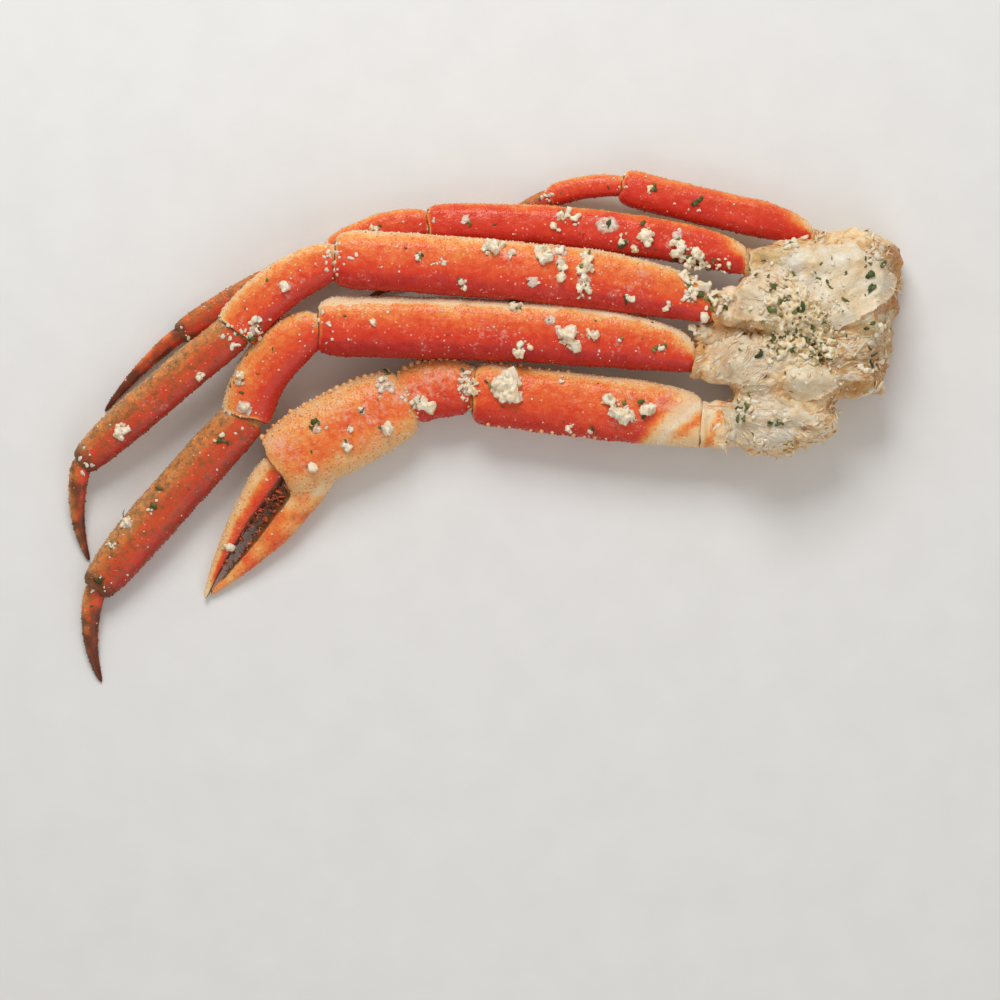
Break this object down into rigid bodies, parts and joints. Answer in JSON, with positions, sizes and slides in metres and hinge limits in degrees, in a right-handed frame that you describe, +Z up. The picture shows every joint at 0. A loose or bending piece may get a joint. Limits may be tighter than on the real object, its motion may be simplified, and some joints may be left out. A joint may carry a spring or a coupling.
{
  "type": "snow crab cluster",
  "caption": "Cooked snow crab cluster: a shoulder of pale meat with jointed walking legs and a claw arm, strewn with garlic and herbs.",
  "frame": {"origin": "middle of the footprint, on the surface that the cluster lies on", "axes": "+X along the length, from the leg tips to the shoulder; +Z up, the thin way"},
  "size_m": [0.2816, 0.1726, 0.0348],
  "materials": {
    "shell": "wet, glossy, finely speckled",
    "meat": "moist, translucent, fibrous"
  },
  "bodies": {
    "root": {"shoulder": "meat", "claw_ischium": "meat", "claw_merus": "shell", "claw_carpus": "shell", "claw_palm": "shell", "claw_finger": "shell", "leg1_ischium": "meat", "leg1_merus": "shell", "leg1_carpus": "shell", "leg1_propodus": "shell", "leg1_dactyl": "shell", "leg2_ischium": "meat", "leg2_merus": "shell", "leg2_carpus": "shell", "leg2_propodus": "shell", "leg2_dactyl": "shell", "leg3_ischium": "meat", "leg3_merus": "shell", "leg3_carpus": "shell", "leg3_propodus": "shell", "leg3_dactyl": "shell", "leg4_ischium": "meat", "leg4_merus": "shell", "leg4_carpus": "shell", "leg4_propodus": "shell", "leg4_dactyl": "shell"}
  },
  "joints": []
}
